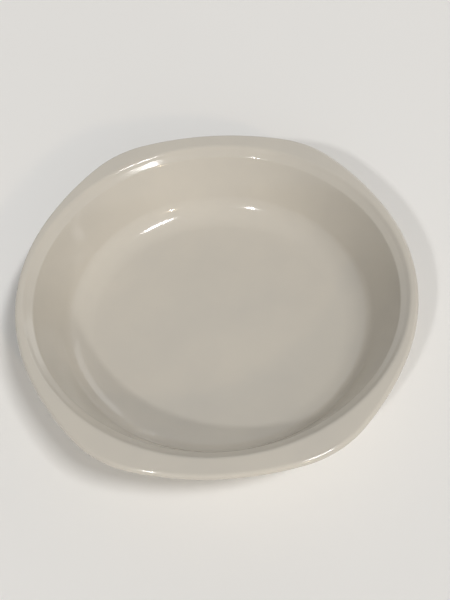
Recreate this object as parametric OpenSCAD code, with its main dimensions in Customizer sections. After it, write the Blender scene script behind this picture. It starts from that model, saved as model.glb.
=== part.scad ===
// Shallow round dish with two ears, in glazed ceramic.
// Millimetres, +Z up. The origin is on the dish's axis, on the surface that its foot stands on.
// The ears point along +Y and -Y.

/* [Rim outline] */
// Distance from the axis to the rim's edge at the plain sides
side_reach = 100; // [92:0.5:108]
// How much further than the plain sides the middle of an ear reaches
ear_out = 5.5; // [4:0.25:8]
// Radius of the edge along a plain side
side_arc_r = 110.5; // [104:0.5:118]
// Angle that a plain side's arc turns, each way from its middle
side_turn = 24.7; // [18:0.1:28]
// Radius of the edge between a plain side and the corner of an ear
flank_arc_r = 152; // [140:1:170]
// Radius of the corner of an ear
ear_corner_r = 55; // [40:1:65]
// Radius of the end of an ear
ear_end_r = 146.7; // [135:0.1:165]

/* [Rim section] */
// Thickness of the rim, which has a fully rounded edge
rim_t = 4; // [3.4:0.1:4.6]
// Width of the flat rim at the plain sides, from its edge to the mouth
rim_w = 3.75; // [3.7:0.05:6]
// Radius under the rim, where it meets the outside of the wall
rim_fillet_r = 1; // [0.6:0.1:1.6]

/* [Seat round the mouth] */
// Width of the seat, from the mouth to the top of the wall
seat_w = 4.65; // [4.4:0.05:6]
// Width of the seat's outer half, which is a little steeper
step_w = 1.95; // [1.6:0.05:2.05]
// Drop of the seat's outer half
step_drop = 1.8; // [1.7:0.1:3.2]
// Drop of the seat's inner half, the ledge
ledge_drop = 2.05; // [1.6:0.05:2.4]
// Radius at the edge of the mouth
mouth_r = 2.7; // [0.8:0.1:2.8]
// Radius between the seat's two halves
step_r = 8; // [2:0.5:10]
// Radius where the ledge turns into the wall
brow_r = 3; // [1:0.5:8]

/* [Basin] */
// Depth of the basin, from the top of the rim to the floor
basin_depth = 34.5; // [28:0.5:44]
// Lean of the wall from upright, in degrees
wall_lean = 27; // [10:0.5:28]
// Radius between the wall and the floor
cove_r = 18; // [10:0.5:22]
// Thickness of the wall
wall_t = 4.5; // [4.2:0.1:4.8]
// Thickness of the floor
floor_t = 4.5; // [3.5:0.1:6]

/* [Foot] */
// Height of the foot
foot_h = 2.5; // [1.8:0.1:5]
// Width of the foot ring
foot_w = 4.5; // [3:0.1:8]
// Flat underside between the foot ring and the curve up to the wall
foot_setback = 3.5; // [2:0.1:10]
// Radius where the foot ring meets the underside
foot_fillet_r = 1; // [0.6:0.1:1.2]
// Radius of the bare foot's two lower edges
foot_edge_r = 0.8; // [0.3:0.1:0.8]

/* [Glaze] */
// Thickness of the glaze
glaze_t = 0.4; // [0.2:0.05:0.5]
// Height of the foot that is left bare
bare_h = 1; // [0.9:0.1:1.2]

/* [Hidden] */

glaze_white = [0.86, 0.84, 0.81];
bare_white = [0.88, 0.85, 0.79];

// Largest turn of one step along a rounded corner and round the rim's edge, in degrees
arc_step = 6;
lip_step = 15;
// How far a tighter arc of the rim stands inside its neighbours and, in degrees, runs on into them
nest = 0.02;
run_on = 1;
// Steps in a whole turn about an axis
$fn = 240;
// How far a cutting solid runs past what it cuts
past = 1;
// Flat width that the round part of the rim shares with the eared part, and leaves clear on each side
flat_step = 0.2;

// Heights
under_z = foot_h;
floor_z = under_z + floor_t;
top_z = floor_z + basin_depth;
rim_z = top_z - rim_t;
lip_r = rim_t / 2;
lip_z = top_z - lip_r;

// The basin's inside, as corners from the axis outwards
lean = [sin(wall_lean), cos(wall_lean)];
mouth_edge = [side_reach - rim_w, top_z];
step_foot = mouth_edge - [step_w, step_drop];
wall_top = [mouth_edge[0] - seat_w, step_foot[1] - ledge_drop];
wall_foot = wall_top - lean * (wall_top[1] - floor_z) / lean[1];
// The round part of the rim ends here, and the eared part starts a little inside it
round_part_r = side_reach - lip_r - flat_step;
eared_part_r = round_part_r - flat_step;
inside_corners = [[0, floor_z], wall_foot, wall_top, step_foot, mouth_edge, [round_part_r, top_z]];
inside_radii = [cove_r, brow_r, step_r, rim_radius(mouth_r, mouth_edge, step_foot)];

// The outside, as corners from the rim inwards to the axis
outer_wall = wall_top + [lean[1], -lean[0]] * wall_t;
outer_top = outer_wall + lean * (rim_z - outer_wall[1]) / lean[1];
outer_foot = outer_wall + lean * (under_z - outer_wall[1]) / lean[1];
outer_cove_r = cove_r + wall_t;
foot_out_r = outer_foot[0] - outer_cove_r * tan((90 - wall_lean) / 2) - foot_setback;
foot_in_r = foot_out_r - foot_w;
outside_corners = [
    [round_part_r, rim_z], outer_top, outer_foot, [foot_out_r, under_z], [foot_out_r, bare_h],
];
outside_radii = [rim_radius(rim_fillet_r, outer_top, outer_foot), outer_cove_r, foot_fillet_r];
base_corners = [[foot_in_r, bare_h], [foot_in_r, under_z], [0, under_z]];
base_radii = [foot_fillet_r];

// Four tangent arcs make a quarter of the rim's outline, each as centre, radius, first and last angle
ear_reach = side_reach + ear_out;
side_c = [side_reach - side_arc_r, 0];
flank_c = side_c + (side_arc_r - flank_arc_r) * [cos(side_turn), sin(side_turn)];
end_c = [0, ear_reach - ear_end_r];
corner_c = meet(flank_c, flank_arc_r - ear_corner_r, end_c, ear_end_r - ear_corner_r);
flank_end = heading(corner_c - flank_c);
corner_end = heading(corner_c - end_c);
side_arc = [side_c, side_arc_r, -side_turn, side_turn];
flank_arc = [flank_c, flank_arc_r, side_turn, flank_end];
corner_arc = [corner_c, ear_corner_r, flank_end, corner_end];
end_arc = [end_c, ear_end_r, corner_end, 180 - corner_end];
// The eared part runs from its edge inwards to well inside the round part
ear_band = norm(corner_c) + ear_corner_r - eared_part_r + rim_t;

function unit(v) = v / norm(v);
function left_of(v) = [-v[1], v[0]];
function heading(v) = atan2(v[1], v[0]);
function backwards(list) = [for (i = [len(list) - 1 : -1 : 0]) list[i]];

// The point at distance r1 from c1 and r2 from c2, on the left of the line from c2 to c1
function meet(c1, r1, c2, r2) =
    let (
        gap = norm(c1 - c2),
        along = (r2 * r2 - r1 * r1 + gap * gap) / (2 * gap),
        across = sqrt(r2 * r2 - along * along),
        u = unit(c1 - c2)
    )
    c2 + u * along - left_of(u) * across;

// A radius at a corner of the flat rim, limited by the rim's flat width, where the path turns down to low
function rim_radius(r, corner, low) =
    min(r, (eared_part_r - flat_step - corner[0]) * tan(-heading(low - corner) / 2));

// Points on an arc about c, from one angle through a sweep
function arc_points(c, r, from, sweep, step = arc_step) =
    let (steps = ceil(abs(sweep) / step))
    [for (i = [0 : steps]) let (a = from + sweep * i / steps) c + r * [cos(a), sin(a)]];

// Points round one corner q of a path that comes from p and goes on to s
function round_corner(p, q, s, r) =
    let (
        u = unit(p - q),
        v = unit(s - q),
        half = acos(u * v) / 2,
        c = q + unit(u + v) * r / sin(half),
        from = heading(q + u * r / tan(half) - c),
        to = heading(q + v * r / tan(half) - c)
    )
    arc_points(c, r, from, (to - from + 540) % 360 - 180);

// A path with its inner corners rounded
function rounded(path, radii) = [
    path[0],
    for (i = [1 : len(path) - 2])
        each round_corner(path[i - 1], path[i], path[i + 1], radii[i - 1]),
    path[len(path) - 1],
];

// Does a path turn left at its corner i?
function turns_left(path, i) = cross(path[i] - path[i - 1], path[i + 1] - path[i]) > 0;

// A path moved to its right by d, and the radii of its corners after that
function sunk(path, d) = [
    for (i = [0 : len(path) - 1])
        let (
            a = unit(path[max(i, 1)] - path[max(i, 1) - 1]),
            b = unit(path[min(i + 1, len(path) - 1)] - path[min(i, len(path) - 2)])
        )
        path[i] - (left_of(a) + left_of(b)) * d / (1 + a * b),
];
function sunk_radii(path, radii, d) =
    [for (i = [0 : len(radii) - 1]) radii[i] + (turns_left(path, i + 1) ? d : -d)];

// The ceramic under a glazed face, and the strip of glaze between the two
function under_glaze(path, radii) = rounded(sunk(path, glaze_t), sunk_radii(path, radii, glaze_t));
function glaze_strip(path, radii) =
    concat(rounded(path, radii), backwards(under_glaze(path, radii)));

// Sections of the rim, measured inwards from its edge: the ceramic, and the glazed rim's two halves
lip_c = [-lip_r, lip_z];
core_r = lip_r - glaze_t;
function rim_section(r, from, sweep) = concat(
    [[-ear_band, lip_z + r * sin(from)]],
    arc_points(lip_c, r, from, sweep, lip_step),
    [[-ear_band, lip_z + r * sin(from + sweep)]]
);
rim_core = rim_section(core_r, -90, 180);
rim_upper = rim_section(lip_r, 0, 90);
rim_lower = rim_section(lip_r, -90, 90);

// A section swept along one arc of the outline, set in by a distance and run on by an angle at both ends
module along_arc(arc, section, set_in = 0, more = 0)
    translate(arc[0])
        rotate(arc[2] - more)
            rotate_extrude(angle = arc[3] - arc[2] + 2 * more)
                translate([arc[1] - set_in, 0])
                    polygon(section);

module both_ways(axis) {
    children();
    mirror(axis) children();
}

// A section swept round the whole eared outline. The tighter arcs run on inside the flatter ones.
module eared_plate(section) {
    both_ways([1, 0, 0]) along_arc(side_arc, section, nest, run_on);
    both_ways([0, 1, 0]) along_arc(end_arc, section);
    both_ways([1, 0, 0]) both_ways([0, 1, 0]) {
        along_arc(flank_arc, section);
        along_arc(corner_arc, section, nest, run_on);
    }
}

// The room inside the eared part of the rim
module eared_part_hole()
    translate([0, 0, rim_z - past])
        cylinder(r = eared_part_r, h = rim_t + 2 * past);

// The fired dish: floor, wall, seat, rim with its ears, and the foot ring that is left bare
module ceramic_body()
    color(bare_white) {
        difference() {
            eared_plate(rim_core);
            eared_part_hole();
        }
        rotate_extrude()
            polygon(concat(
                under_glaze(inside_corners, inside_radii),
                under_glaze(outside_corners, outside_radii),
                round_corner([foot_out_r - glaze_t, bare_h], [foot_out_r - glaze_t, 0],
                    [foot_in_r + glaze_t, 0], foot_edge_r),
                round_corner([foot_out_r - glaze_t, 0], [foot_in_r + glaze_t, 0],
                    [foot_in_r + glaze_t, bare_h], foot_edge_r),
                under_glaze(base_corners, base_radii)
            ));
    }

// The coat over the basin, the seat and the top of the rim, out to the rim's edge
module inside_glaze()
    color(glaze_white) {
        difference() {
            eared_plate(rim_upper);
            eared_plate(rim_core);
            eared_part_hole();
        }
        rotate_extrude() polygon(glaze_strip(inside_corners, inside_radii));
    }

// The coat from the rim's edge, under the rim and down the wall to the bare foot
module outside_glaze()
    color(glaze_white) {
        difference() {
            eared_plate(rim_lower);
            eared_plate(rim_core);
            eared_part_hole();
        }
        rotate_extrude() polygon(glaze_strip(outside_corners, outside_radii));
    }

// The coat on the underside inside the foot ring
module base_glaze()
    color(glaze_white)
        rotate_extrude() polygon(glaze_strip(base_corners, base_radii));

ceramic_body();
inside_glaze();
outside_glaze();
base_glaze();
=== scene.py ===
"""The looks of a round eared dish in glazed ceramic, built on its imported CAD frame."""
import math

import bpy
import numpy as np
from mathutils import Matrix, Vector, noise


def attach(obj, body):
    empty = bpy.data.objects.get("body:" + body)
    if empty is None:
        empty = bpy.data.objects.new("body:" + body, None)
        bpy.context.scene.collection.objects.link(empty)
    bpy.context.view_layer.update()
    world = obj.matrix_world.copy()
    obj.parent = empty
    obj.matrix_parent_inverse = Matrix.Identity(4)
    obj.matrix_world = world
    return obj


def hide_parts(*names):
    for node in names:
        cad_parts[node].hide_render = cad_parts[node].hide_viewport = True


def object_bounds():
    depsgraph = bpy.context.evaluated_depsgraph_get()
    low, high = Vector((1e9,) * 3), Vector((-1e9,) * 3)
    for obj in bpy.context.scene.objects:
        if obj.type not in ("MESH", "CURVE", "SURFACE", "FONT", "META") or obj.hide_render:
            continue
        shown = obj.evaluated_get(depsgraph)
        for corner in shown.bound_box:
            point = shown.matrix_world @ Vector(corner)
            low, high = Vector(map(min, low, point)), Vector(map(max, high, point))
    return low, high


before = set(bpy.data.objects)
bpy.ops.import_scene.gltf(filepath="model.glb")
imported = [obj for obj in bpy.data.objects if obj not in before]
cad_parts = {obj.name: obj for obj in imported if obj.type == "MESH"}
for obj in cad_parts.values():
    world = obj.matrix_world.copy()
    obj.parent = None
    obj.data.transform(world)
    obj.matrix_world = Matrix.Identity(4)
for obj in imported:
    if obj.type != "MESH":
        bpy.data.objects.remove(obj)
CAD_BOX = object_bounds()
MM = 0.001

# Sizes in millimetres and angles in degrees, as in the part's source
SIDE_REACH, EAR_OUT = 100.0, 5.5
SIDE_ARC_R, SIDE_TURN = 110.5, 24.7
FLANK_ARC_R, EAR_CORNER_R, EAR_END_R = 152.0, 55.0, 146.7
RIM_T, RIM_W, RIM_FILLET_R = 4.0, 3.75, 1.0
SEAT_W, STEP_W, STEP_DROP, LEDGE_DROP = 4.65, 1.95, 1.8, 2.05
MOUTH_R, STEP_R, BROW_R = 2.7, 8.0, 3.0
WALL_LEAN, COVE_R, WALL_T, FLOOR_T = 27.0, 18.0, 4.5, 4.5
FOOT_H, FOOT_W, FOOT_SETBACK = 2.5, 4.5, 3.5
FOOT_FILLET_R, FOOT_EDGE_R = 1.0, 0.8
GLAZE_T, BARE_H = 0.4, 1.0
FLAT_STEP = 0.2
TOP_Z = round(CAD_BOX[1].z / MM, 3)

# How finely the surfaces in view are drawn: steps round a corner and round the rim's edge in degrees,
# and along a line and along the foot's bare faces in millimetres
FINE_TURN, LIP_TURN = 3.0, 5
LONGEST_STEP, FOOT_STEP = 6.0, 1.0
# The same for the faces between ceramic and glaze, and for the rolled edge of the glaze
HIDDEN_TURN, HIDDEN_LIP_TURN, ROLL_TURN = 9.0, 15, 15
HIDDEN_STEP = 24.0
# A row this many degrees from the seam of the two coats on the rim's edge keeps the shading smooth there
SEAM_TURN = 0.5
# Columns along the side, flank, corner and end of a quarter of the rim
QUARTER_COLUMNS = (29, 28, 22, 21)
# The smooth rim stands this far inside the CAD's edge
EDGE_IN = 0.05
# Edges that turn by more degrees than this are drawn sharp
SHARP_TURN = 50
# A row nearer the axis than this is one point
ON_AXIS = 1e-9

# The fired glaze: height and length of its slow waves, the finer ripples on them, as a share of the height
# and how many go to a wave, and the width over which they fade out towards the rim
WAVE_HEIGHT, WAVE_LENGTH = 0.035, 38.0
RIPPLE_SHARE, RIPPLE_RATE = 0.5, 2.3
WAVE_FADE = 8.0
# The glaze's wiped edge round the bare foot: how far it wanders, how often, and the radius of its rolled end
WIPE_WAVE, WIPE_RATE, WIPE_ROLL = 0.22, 3, 0.3
# The wiped edge wanders below this height, differently outside and inside the foot
WIPE_TOP = FOOT_H - FOOT_FILLET_R
WIPE_SEED_OUTSIDE, WIPE_SEED_BASE = 2.0, 7.0

# The photograph's camera, for a 450 by 600 picture, in millimetres and degrees
CAMERA_LENS, CAMERA_SENSOR = 55.26, 36.0
CAMERA_RISE, CAMERA_ROLL, CAMERA_TURN = 53.53, -4.86, 2.84
CAMERA_DISTANCE = 451.8
CAMERA_AIM = (4.26, -11.11, TOP_Z - 0.4)
# In metres: the nearest that the camera sees, how far off the lamps stand, so that they light the floor
# evenly, and half the floor's width
CAMERA_NEAR, LAMP_DISTANCE, FLOOR_HALF = 0.01, 14.0, 2.5
# Strength of the even light from all round, and of the backdrop where it is seen or mirrored
WORLD_LEVEL, BACKDROP_LEVEL = 0.16, 0.85


def unit(v):
    return v / np.linalg.norm(v)


def left_of(v):
    return np.array((-v[1], v[0]))


def from_angle(degrees):
    return np.array((math.cos(math.radians(degrees)), math.sin(math.radians(degrees))))


def heading(v):
    return math.degrees(math.atan2(v[1], v[0]))


def arc(centre, r, first, sweep, step):
    """Points on an arc from one angle through a sweep."""
    steps = max(1, math.ceil(abs(sweep) / step))
    return [centre + r * from_angle(first + sweep * i / steps) for i in range(steps + 1)]


def round_corner(p, q, s, r, step):
    """Points round the corner q of a path from p to s, the short way round."""
    u, v = unit(p - q), unit(s - q)
    half = math.acos(float(u @ v)) / 2
    centre = q + unit(u + v) * r / math.sin(half)
    first = heading(q + u * r / math.tan(half) - centre)
    last = heading(q + v * r / math.tan(half) - centre)
    return arc(centre, r, first, (last - first + 540) % 360 - 180, step)


def divided(points, longest):
    """A path with its long straight stretches cut into equal steps."""
    out = [points[0]]
    for p, q in zip(points, points[1:]):
        parts = max(1, math.ceil(np.linalg.norm(q - p) / longest))
        out += [p + (q - p) * i / parts for i in range(1, parts + 1)]
    return out


def rounded(path, radii, step, longest=LONGEST_STEP):
    """A path with its inner corners rounded and its straights divided."""
    path = [np.array(p, float) for p in path]
    points = [path[0]]
    for p, q, s, r in zip(path, path[1:], path[2:], radii):
        points += round_corner(p, q, s, r, step)
    return divided(points + [path[-1]], longest)


def sunk(path, radii, d):
    """A path moved to its right by d, and the radii of its corners after that."""
    path = [np.array(p, float) for p in path]
    ways = [unit(q - p) for p, q in zip(path, path[1:])]
    ways = [ways[0]] + ways + [ways[-1]]
    moved = [p - (left_of(a) + left_of(b)) * d / (1 + a @ b) for p, a, b in zip(path, ways, ways[1:])]
    turns = [a[0] * b[1] - a[1] * b[0] > 0 for a, b in zip(ways[1:], ways[2:-1])]
    return moved, [r + (d if left else -d) for r, left in zip(radii, turns)]


def under(path, radii):
    """The ceramic's own path under a glazed one."""
    return rounded(*sunk(path, radii, GLAZE_T), HIDDEN_TURN, HIDDEN_STEP)


# The section's corners: the basin's inside, the outside, and the underside
FLOOR_Z = FOOT_H + FLOOR_T
RIM_Z, LIP_R = TOP_Z - RIM_T, RIM_T / 2
LIP_Z = TOP_Z - LIP_R
CORE_R = LIP_R - GLAZE_T
ROUND_R = SIDE_REACH - LIP_R - FLAT_STEP
LEAN = np.array((math.sin(math.radians(WALL_LEAN)), math.cos(math.radians(WALL_LEAN))))
MOUTH = np.array((SIDE_REACH - RIM_W, TOP_Z))
STEP_FOOT = MOUTH - (STEP_W, STEP_DROP)
WALL_TOP = np.array((MOUTH[0] - SEAT_W, STEP_FOOT[1] - LEDGE_DROP))
WALL_FOOT = WALL_TOP - LEAN * (WALL_TOP[1] - FLOOR_Z) / LEAN[1]
OUTER_WALL = WALL_TOP - left_of(LEAN) * WALL_T
OUTER_TOP = OUTER_WALL + LEAN * (RIM_Z - OUTER_WALL[1]) / LEAN[1]
OUTER_FOOT = OUTER_WALL + LEAN * (FOOT_H - OUTER_WALL[1]) / LEAN[1]
OUTER_COVE_R = COVE_R + WALL_T
FOOT_OUT_R = OUTER_FOOT[0] - OUTER_COVE_R * math.tan(math.radians(45 - WALL_LEAN / 2)) - FOOT_SETBACK
FOOT_IN_R = FOOT_OUT_R - FOOT_W
INSIDE = [(0, FLOOR_Z), WALL_FOOT, WALL_TOP, STEP_FOOT, MOUTH, (ROUND_R, TOP_Z)]
INSIDE_RADII = [COVE_R, BROW_R, STEP_R, MOUTH_R]
OUTSIDE = [(ROUND_R, RIM_Z), OUTER_TOP, OUTER_FOOT, (FOOT_OUT_R, FOOT_H), (FOOT_OUT_R, BARE_H)]
OUTSIDE_RADII = [RIM_FILLET_R, OUTER_COVE_R, FOOT_FILLET_R]
BASE = [(FOOT_IN_R, BARE_H), (FOOT_IN_R, FOOT_H), (0, FOOT_H)]
BASE_RADII = [FOOT_FILLET_R]


def meet(c1, r1, c2, r2):
    """The point at distance r1 from c1 and r2 from c2, on the right of the line from c2 to c1."""
    gap = np.linalg.norm(c1 - c2)
    along = (r2 * r2 - r1 * r1 + gap * gap) / (2 * gap)
    u = unit(c1 - c2)
    return c2 + u * along - left_of(u) * math.sqrt(r2 * r2 - along * along)


def quarter_outline():
    """Points on a quarter of the rim's edge, and the edge's outward normals there."""
    side = np.array((SIDE_REACH - SIDE_ARC_R, 0.0))
    flank = side + (SIDE_ARC_R - FLANK_ARC_R) * from_angle(SIDE_TURN)
    end = np.array((0.0, SIDE_REACH + EAR_OUT - EAR_END_R))
    corner = meet(flank, FLANK_ARC_R - EAR_CORNER_R, end, EAR_END_R - EAR_CORNER_R)
    turns = (0.0, SIDE_TURN, heading(corner - flank), heading(corner - end), 90.0)
    centres = (side, flank, corner, end)
    reaches = (SIDE_ARC_R, FLANK_ARC_R, EAR_CORNER_R, EAR_END_R)
    points, normals = [], []
    for centre, r, first, last, count in zip(centres, reaches, turns, turns[1:], QUARTER_COLUMNS):
        for i in range(count):
            normals.append(from_angle(first + (last - first) * i / count))
            points.append(centre + (r - EDGE_IN) * normals[-1])
    points.append(end + (EAR_END_R - EDGE_IN) * from_angle(90))
    normals.append(from_angle(90))
    return np.array(points), np.array(normals)


def whole_outline():
    """The closed edge, anticlockwise from +X, from a quarter of it and its mirror images."""
    def all_round(quarter):
        back = quarter[::-1]
        return np.concatenate((
            quarter[:-1], back[:-1] * (-1, 1), quarter[:-1] * (-1, -1), back[:-1] * (1, -1)))
    points, normals = quarter_outline()
    return all_round(points), all_round(normals)


# The rim's edge with its normals, and the spokes on which every row has its points
EDGE, EDGE_OUT = whole_outline()
LIP_INNER = EDGE - EDGE_OUT * LIP_R
SPOKES = LIP_INNER / np.linalg.norm(LIP_INNER, axis=1)[:, None]
COLUMNS = len(EDGE)


def ring(r, z):
    """One row of a round part: a circle, as a point on each spoke."""
    return np.column_stack((SPOKES * r, np.full(COLUMNS, z)))


def rings(points):
    return [ring(*p) for p in points]


def rim_ring(inset, z):
    """One row of the rim, a distance inwards from its edge."""
    return np.column_stack((EDGE - EDGE_OUT * inset, np.full(COLUMNS, z)))


def rim_rows(r, first, last, step):
    """Rows round the rim's edge, on a radius about the middle of its thickness."""
    return [rim_ring(LIP_R - p[0], LIP_Z + p[1]) for p in arc(np.zeros(2), r, first, last - first, step)]


def section_normals(points):
    """The left-hand normals along a path."""
    ways = np.gradient(np.array(points), axis=0)
    ways /= np.linalg.norm(ways, axis=1)[:, None]
    return np.column_stack((-ways[:, 1], ways[:, 0]))


def slow_wave(row):
    """The glaze's unevenness at each point of a row."""
    spots = row / WAVE_LENGTH
    return np.array([
        noise.noise(Vector(p)) + RIPPLE_SHARE * noise.noise(Vector(p * RIPPLE_RATE)) for p in spots])


def waved_rows(points, reach):
    """Rows of a round part, with the glaze's slow waves fading out towards the rim at radius reach."""
    rows = []
    for p, n in zip(points, section_normals(points)):
        row = ring(*p)
        fade = min(1.0, max(0.0, (reach - p[0]) / WAVE_FADE))
        lift = (WAVE_HEIGHT * fade * slow_wave(row))[:, None] if p[0] > 0 else 0.0
        rows.append(row + lift * np.column_stack((SPOKES * n[0], np.full(COLUMNS, n[1]))))
    return rows


def wiped(rows, seed):
    """Rows near the bare foot, moved up and down with the edge where the glaze was wiped off."""
    angles = np.arctan2(SPOKES[:, 1], SPOKES[:, 0])
    wave = np.array([
        noise.noise(Vector((WIPE_RATE * math.cos(a), WIPE_RATE * math.sin(a), seed))) for a in angles])
    for row in rows:
        share = np.clip((WIPE_TOP - row[:, 2]) / (WIPE_TOP - BARE_H), 0, 1)
        row[:, 2] += WIPE_WAVE * wave * share
    return rows


def inside_rows():
    """The coat over the basin, the seat and the top of the rim, and its back."""
    top = waved_rows(rounded(INSIDE, INSIDE_RADII, FINE_TURN), MOUTH[0])
    lip = rim_rows(LIP_R, 90, 0, LIP_TURN)
    lip.insert(-1, rim_rows(LIP_R, SEAM_TURN, 0, LIP_TURN)[0])
    hidden = rim_rows(CORE_R, 0, 90, HIDDEN_LIP_TURN) + rings(under(INSIDE, INSIDE_RADII)[::-1])
    return top + lip + hidden


def outside_rows():
    """The coat from the rim's edge down to the foot, and its back."""
    lip = rim_rows(LIP_R, 0, -90, LIP_TURN)
    lip.insert(1, rim_rows(LIP_R, -SEAM_TURN, 0, LIP_TURN)[0])
    path = rounded(OUTSIDE, OUTSIDE_RADII, FINE_TURN)
    path = path[:-1] + arc(path[-1] - (WIPE_ROLL, -WIPE_ROLL), WIPE_ROLL, 0, -90, ROLL_TURN)
    skin = waved_rows(path, OUTER_TOP[0])
    hidden = rings(under(OUTSIDE, OUTSIDE_RADII)[::-1]) + rim_rows(CORE_R, -90, 0, HIDDEN_LIP_TURN)
    return wiped(lip + skin + hidden, WIPE_SEED_OUTSIDE)


def base_rows():
    """The coat on the underside, inside the foot ring, and its back."""
    path = rounded(BASE, BASE_RADII, FINE_TURN)
    path = arc(path[0] + (WIPE_ROLL, WIPE_ROLL), WIPE_ROLL, 270, -90, ROLL_TURN) + path[1:]
    skin = waved_rows(path, FOOT_OUT_R)
    hidden = rings(under(BASE, BASE_RADII)[::-1])
    return wiped(skin + hidden, WIPE_SEED_BASE)


def body_rows():
    """The ceramic: under the coats all over, and bare on the foot ring."""
    foot_out, foot_in = FOOT_OUT_R - GLAZE_T, FOOT_IN_R + GLAZE_T
    foot = [(foot_out, BARE_H), (foot_out, 0), (foot_in, 0), (foot_in, BARE_H)]
    return (
        rings(under(INSIDE, INSIDE_RADII)) + rim_rows(CORE_R, 90, -90, HIDDEN_LIP_TURN)
        + rings(under(OUTSIDE, OUTSIDE_RADII)[:-1])
        + rings(rounded(foot, [FOOT_EDGE_R, FOOT_EDGE_R], FINE_TURN, FOOT_STEP))
        + rings(under(BASE, BASE_RADII)[1:])
    )


def surface(rows, closed):
    """Vertices and faces of a surface through rows, where a row on the axis is one point."""
    verts, starts = [], []
    for row in rows:
        starts.append((len(verts), abs(row[0, 0]) + abs(row[0, 1]) < ON_AXIS))
        verts += [row[0]] if starts[-1][1] else list(row)
    faces = []
    pairs = list(zip(starts, starts[1:])) + ([(starts[-1], starts[0])] if closed else [])
    for (a, a_point), (b, b_point) in pairs:
        if a_point and b_point:
            continue
        for j in range(COLUMNS):
            k = (j + 1) % COLUMNS
            if a_point:
                faces.append((a, b + j, b + k))
            elif b_point:
                faces.append((a + k, a + j, b))
            else:
                faces.append((a + k, a + j, b + j, b + k))
    return verts, faces


def make_piece(name, verts, faces, node, slot, material):
    """A smooth piece, from millimetres, that rides with the dish and stands for a CAD node."""
    mesh = bpy.data.meshes.new(name)
    mesh.from_pydata([Vector(v) * MM for v in verts], [], faces)
    mesh.materials.append(material)
    mesh.shade_smooth()
    mesh.set_sharp_from_angle(angle=math.radians(SHARP_TURN))
    piece = bpy.data.objects.new(name, mesh)
    bpy.context.scene.collection.objects.link(piece)
    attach(piece, "root")
    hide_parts(node)


class Nodes:
    """A material's node tree, with short calls to add and join its nodes.

    Scales count the features of a pattern in a metre.
    """

    def __init__(self, name):
        self.material = bpy.data.materials.new(name)
        self.material.use_nodes = True
        self.tree = self.material.node_tree
        self.shader = self.tree.nodes["Principled BSDF"]

    def feed(self, socket, value):
        """Joins a socket to another, or sets it to a plain value."""
        if isinstance(value, bpy.types.NodeSocket):
            self.tree.links.new(value, socket)
        else:
            socket.default_value = value

    def add(self, kind, inputs=(), **settings):
        node = self.tree.nodes.new(kind)
        for key, value in settings.items():
            setattr(node, key, value)
        for key, value in dict(inputs).items():
            self.feed(node.inputs[key], value)
        return node

    def place(self):
        return self.add("ShaderNodeTexCoord").outputs["Object"]

    def combine(self, operation, a, b):
        return self.add("ShaderNodeMath", {0: a, 1: b}, operation=operation).outputs[0]

    def clouds(self, place, scale, detail=3.0, roughness=0.55):
        return self.add("ShaderNodeTexNoise", {
            "Vector": place, "Scale": scale, "Detail": detail, "Roughness": roughness}).outputs["Fac"]

    def remap(self, value, low, high, to_low=0.0, to_high=1.0):
        return self.add("ShaderNodeMapRange", {
            "Value": value, "From Min": low, "From Max": high,
            "To Min": to_low, "To Max": to_high}).outputs["Result"]

    def mix(self, share, a, b):
        node = self.add("ShaderNodeMix", data_type="RGBA")
        for key, value in (("Factor_Float", share), ("A_Color", a), ("B_Color", b)):
            self.feed(next(s for s in node.inputs if s.identifier == key), value)
        return next(s for s in node.outputs if s.identifier == "Result_Color")

    def specks(self, place, scale, size, share, core=0.4):
        """Round spots of a size, full over their core, in a share of the cells of a random pattern."""
        cells = self.add("ShaderNodeTexVoronoi", {"Vector": place, "Scale": scale})
        chance = self.add("ShaderNodeSeparateColor", {"Color": cells.outputs["Color"]}).outputs[0]
        chosen = self.combine("LESS_THAN", chance, share)
        spot = self.remap(cells.outputs["Distance"], low=size, high=size * core)
        return self.combine("MULTIPLY", spot, chosen)

    def bump(self, height, depth, strength):
        return self.add("ShaderNodeBump", {
            "Height": height, "Distance": depth, "Strength": strength}).outputs["Normal"]

    def finish(self, inputs):
        for key, value in inputs.items():
            self.feed(self.shader.inputs[key], value)
        return self.material


def colour(r, g, b):
    return (r, g, b, 1.0)


# Linear colours of the fired glaze, where it lies thick and thin, of the bare clay, and of the stage
GLAZE_THICK = colour(0.548, 0.512, 0.450)
GLAZE_THIN = colour(0.575, 0.535, 0.465)
GLAZE_SPECK = colour(0.45, 0.40, 0.33)
CLAY_PALE = colour(0.60, 0.53, 0.42)
CLAY_DARK = colour(0.47, 0.40, 0.30)
CLAY_SPECK = colour(0.20, 0.15, 0.10)
FLOOR_DULL = colour(0.84, 0.83, 0.81)
FLOOR_PALE = colour(0.87, 0.86, 0.84)
BACKDROP = colour(1.0, 0.99, 0.97)


def glaze_material():
    """Glossy, with slow clouds of depth, rare specks and pits, and a very faint orange peel."""
    n = Nodes("warm_white_glaze")
    place = n.place()
    depth = n.remap(n.clouds(place, scale=26.0), low=0.35, high=0.65)
    tint = n.mix(depth, GLAZE_THICK, GLAZE_THIN)
    tint = n.mix(n.specks(place, scale=150.0, size=0.05, share=0.03), tint, GLAZE_SPECK)
    peel = n.clouds(place, scale=420.0, detail=2.0)
    pits = n.specks(place, scale=210.0, size=0.07, share=0.05)
    height = n.combine("SUBTRACT", peel, pits)
    rough = n.remap(n.clouds(place, scale=60.0, detail=4.0), low=0.3, high=0.7, to_low=0.085, to_high=0.125)
    relief = n.bump(height, depth=0.00004, strength=0.5)
    return n.finish({"Base Color": tint, "Roughness": rough, "Normal": relief, "IOR": 1.5})


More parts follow.
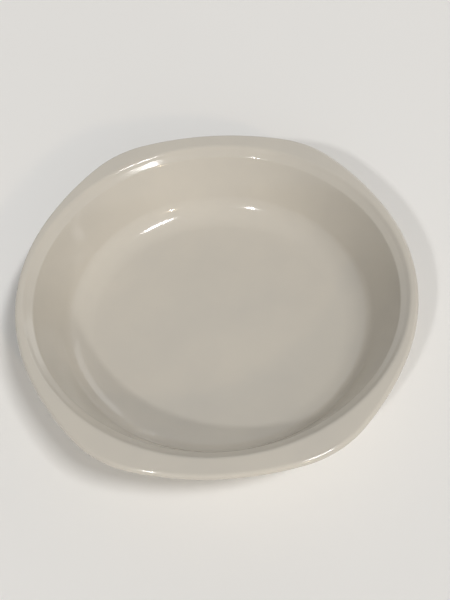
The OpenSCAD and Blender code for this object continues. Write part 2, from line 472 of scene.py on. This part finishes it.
def clay_material():
    """Dull and sandy, with clouds of a darker tone and dark grains."""
    n = Nodes("bare_fired_clay")
    place = n.place()
    depth = n.remap(n.clouds(place, scale=45.0, detail=5.0), low=0.3, high=0.7)
    tint = n.mix(depth, CLAY_PALE, CLAY_DARK)
    tint = n.mix(n.specks(place, scale=600.0, size=0.2, share=0.12), tint, CLAY_SPECK)
    grain = n.clouds(place, scale=1500.0, detail=5.0, roughness=0.7)
    rough = n.remap(n.clouds(place, scale=300.0), low=0.3, high=0.7, to_low=0.68, to_high=0.86)
    relief = n.bump(grain, depth=0.00012, strength=0.7)
    return n.finish({
        "Base Color": tint, "Roughness": rough, "Normal": relief, "IOR": 1.45, "Specular IOR Level": 0.3})


def floor_material():
    """Pale and dull, with hardly visible clouds."""
    n = Nodes("pale_floor")
    tint = n.mix(n.clouds(n.place(), scale=3.0), FLOOR_DULL, FLOOR_PALE)
    return n.finish({"Base Color": tint, "Roughness": 0.7, "Specular IOR Level": 0.2})


def make_dish():
    glaze, clay = glaze_material(), clay_material()
    make_piece("dish_body", *surface(body_rows(), False), "ceramic_body", "bare_ceramic", clay)
    make_piece("inner_coat", *surface(inside_rows(), False), "inside_glaze", "glaze", glaze)
    make_piece("outer_coat", *surface(outside_rows(), True), "outside_glaze", "glaze", glaze)
    make_piece("base_coat", *surface(base_rows(), True), "base_glaze", "glaze", glaze)


def make_camera():
    """The camera, which looks down from -Y at its rise, rolled, and is then turned about +Z."""
    rise, roll = math.radians(CAMERA_RISE), math.radians(CAMERA_ROLL)
    back = Vector((0, -math.cos(rise), math.sin(rise)))
    right, up = Vector((1, 0, 0)), Vector((0, math.sin(rise), math.cos(rise)))
    across = math.cos(roll) * right + math.sin(roll) * up
    upward = math.cos(roll) * up - math.sin(roll) * right
    pose = Matrix((across, upward, back)).transposed().to_4x4()
    pose.translation = (Vector(CAMERA_AIM) + back * CAMERA_DISTANCE) * MM
    data = bpy.data.cameras.new("camera")
    data.lens, data.sensor_width, data.clip_start = CAMERA_LENS, CAMERA_SENSOR, CAMERA_NEAR
    data.sensor_fit = "AUTO"
    camera = bpy.data.objects.new("camera", data)
    camera.matrix_world = Matrix.Rotation(math.radians(CAMERA_TURN), 4, "Z") @ pose
    bpy.context.scene.collection.objects.link(camera)
    bpy.context.scene.camera = camera


def make_lamp(name, azimuth, rise, spread, level, tint=(1.0, 1.0, 1.0), mirrored=True):
    """A rectangular lamp that faces the dish from an azimuth about +Z, from +X, and a rise.

    Its width and height are in degrees as seen from the dish, and its level is the watts that would give
    the same light from one metre.
    A lamp that isn't mirrored is a soft fill that leaves no glint.
    """
    data = bpy.data.lights.new(name, "AREA")
    data.shape = "RECTANGLE"
    data.size, data.size_y = (2 * LAMP_DISTANCE * math.tan(math.radians(s / 2)) for s in spread)
    data.energy, data.color = level * LAMP_DISTANCE ** 2, tint
    lamp = bpy.data.objects.new(name, data)
    a, e = math.radians(azimuth), math.radians(rise)
    way = Vector((math.cos(a) * math.cos(e), math.sin(a) * math.cos(e), math.sin(e)))
    lamp.location = way * LAMP_DISTANCE
    lamp.rotation_euler = way.to_track_quat("Z", "Y").to_euler()
    lamp.visible_glossy = mirrored
    bpy.context.scene.collection.objects.link(lamp)


def make_world():
    """Even soft light from all round, and a pale backdrop where it is seen or mirrored."""
    world = bpy.data.worlds.new("studio")
    world.use_nodes = True
    bpy.context.scene.world = world
    tree = world.node_tree
    path = tree.nodes.new("ShaderNodeLightPath")
    seen = path.outputs["Is Camera Ray"]
    for ray in ("Is Glossy Ray", "Is Transmission Ray"):
        either = tree.nodes.new("ShaderNodeMath")
        either.operation = "MAXIMUM"
        tree.links.new(seen, either.inputs[0])
        tree.links.new(path.outputs[ray], either.inputs[1])
        seen = either.outputs[0]
    mix = tree.nodes.new("ShaderNodeMixShader")
    tree.links.new(seen, mix.inputs[0])
    for slot, strength in ((1, WORLD_LEVEL), (2, BACKDROP_LEVEL)):
        back = tree.nodes.new("ShaderNodeBackground")
        back.inputs["Color"].default_value = BACKDROP
        back.inputs["Strength"].default_value = strength
        tree.links.new(back.outputs[0], mix.inputs[slot])
    tree.links.new(mix.outputs[0], tree.nodes["World Output"].inputs["Surface"])


def make_floor():
    mesh = bpy.data.meshes.new("floor")
    h = FLOOR_HALF
    mesh.from_pydata([(-h, -h, 0), (h, -h, 0), (h, h, 0), (-h, h, 0)], [], [(0, 1, 2, 3)])
    mesh.materials.append(floor_material())
    floor = bpy.data.objects.new("floor", mesh)
    bpy.context.scene.collection.objects.link(floor)


make_camera()
make_dish()
make_floor()
make_world()
# Three small lamps that make the glints, and four soft ones
make_lamp("key", azimuth=320, rise=60, spread=(13.1, 4.4), level=4.35)
make_lamp("side", azimuth=242, rise=43, spread=(2.9, 2.9), level=2.12)
make_lamp("low", azimuth=298, rise=30, spread=(0.66, 3.6), level=0.89, tint=(1.0, 0.8, 0.55))
make_lamp("front_soft", azimuth=285, rise=25, spread=(49.6, 32.1), level=1.75, mirrored=False)
make_lamp("far_soft", azimuth=110, rise=20, spread=(55.0, 18.0), level=1.3, mirrored=False)
make_lamp("right_soft", azimuth=5, rise=25, spread=(49.6, 32.1), level=0.37)
make_lamp("back_soft", azimuth=62, rise=20, spread=(26.0, 21.8), level=0.59)
bpy.context.scene.view_settings.view_transform = "Standard"
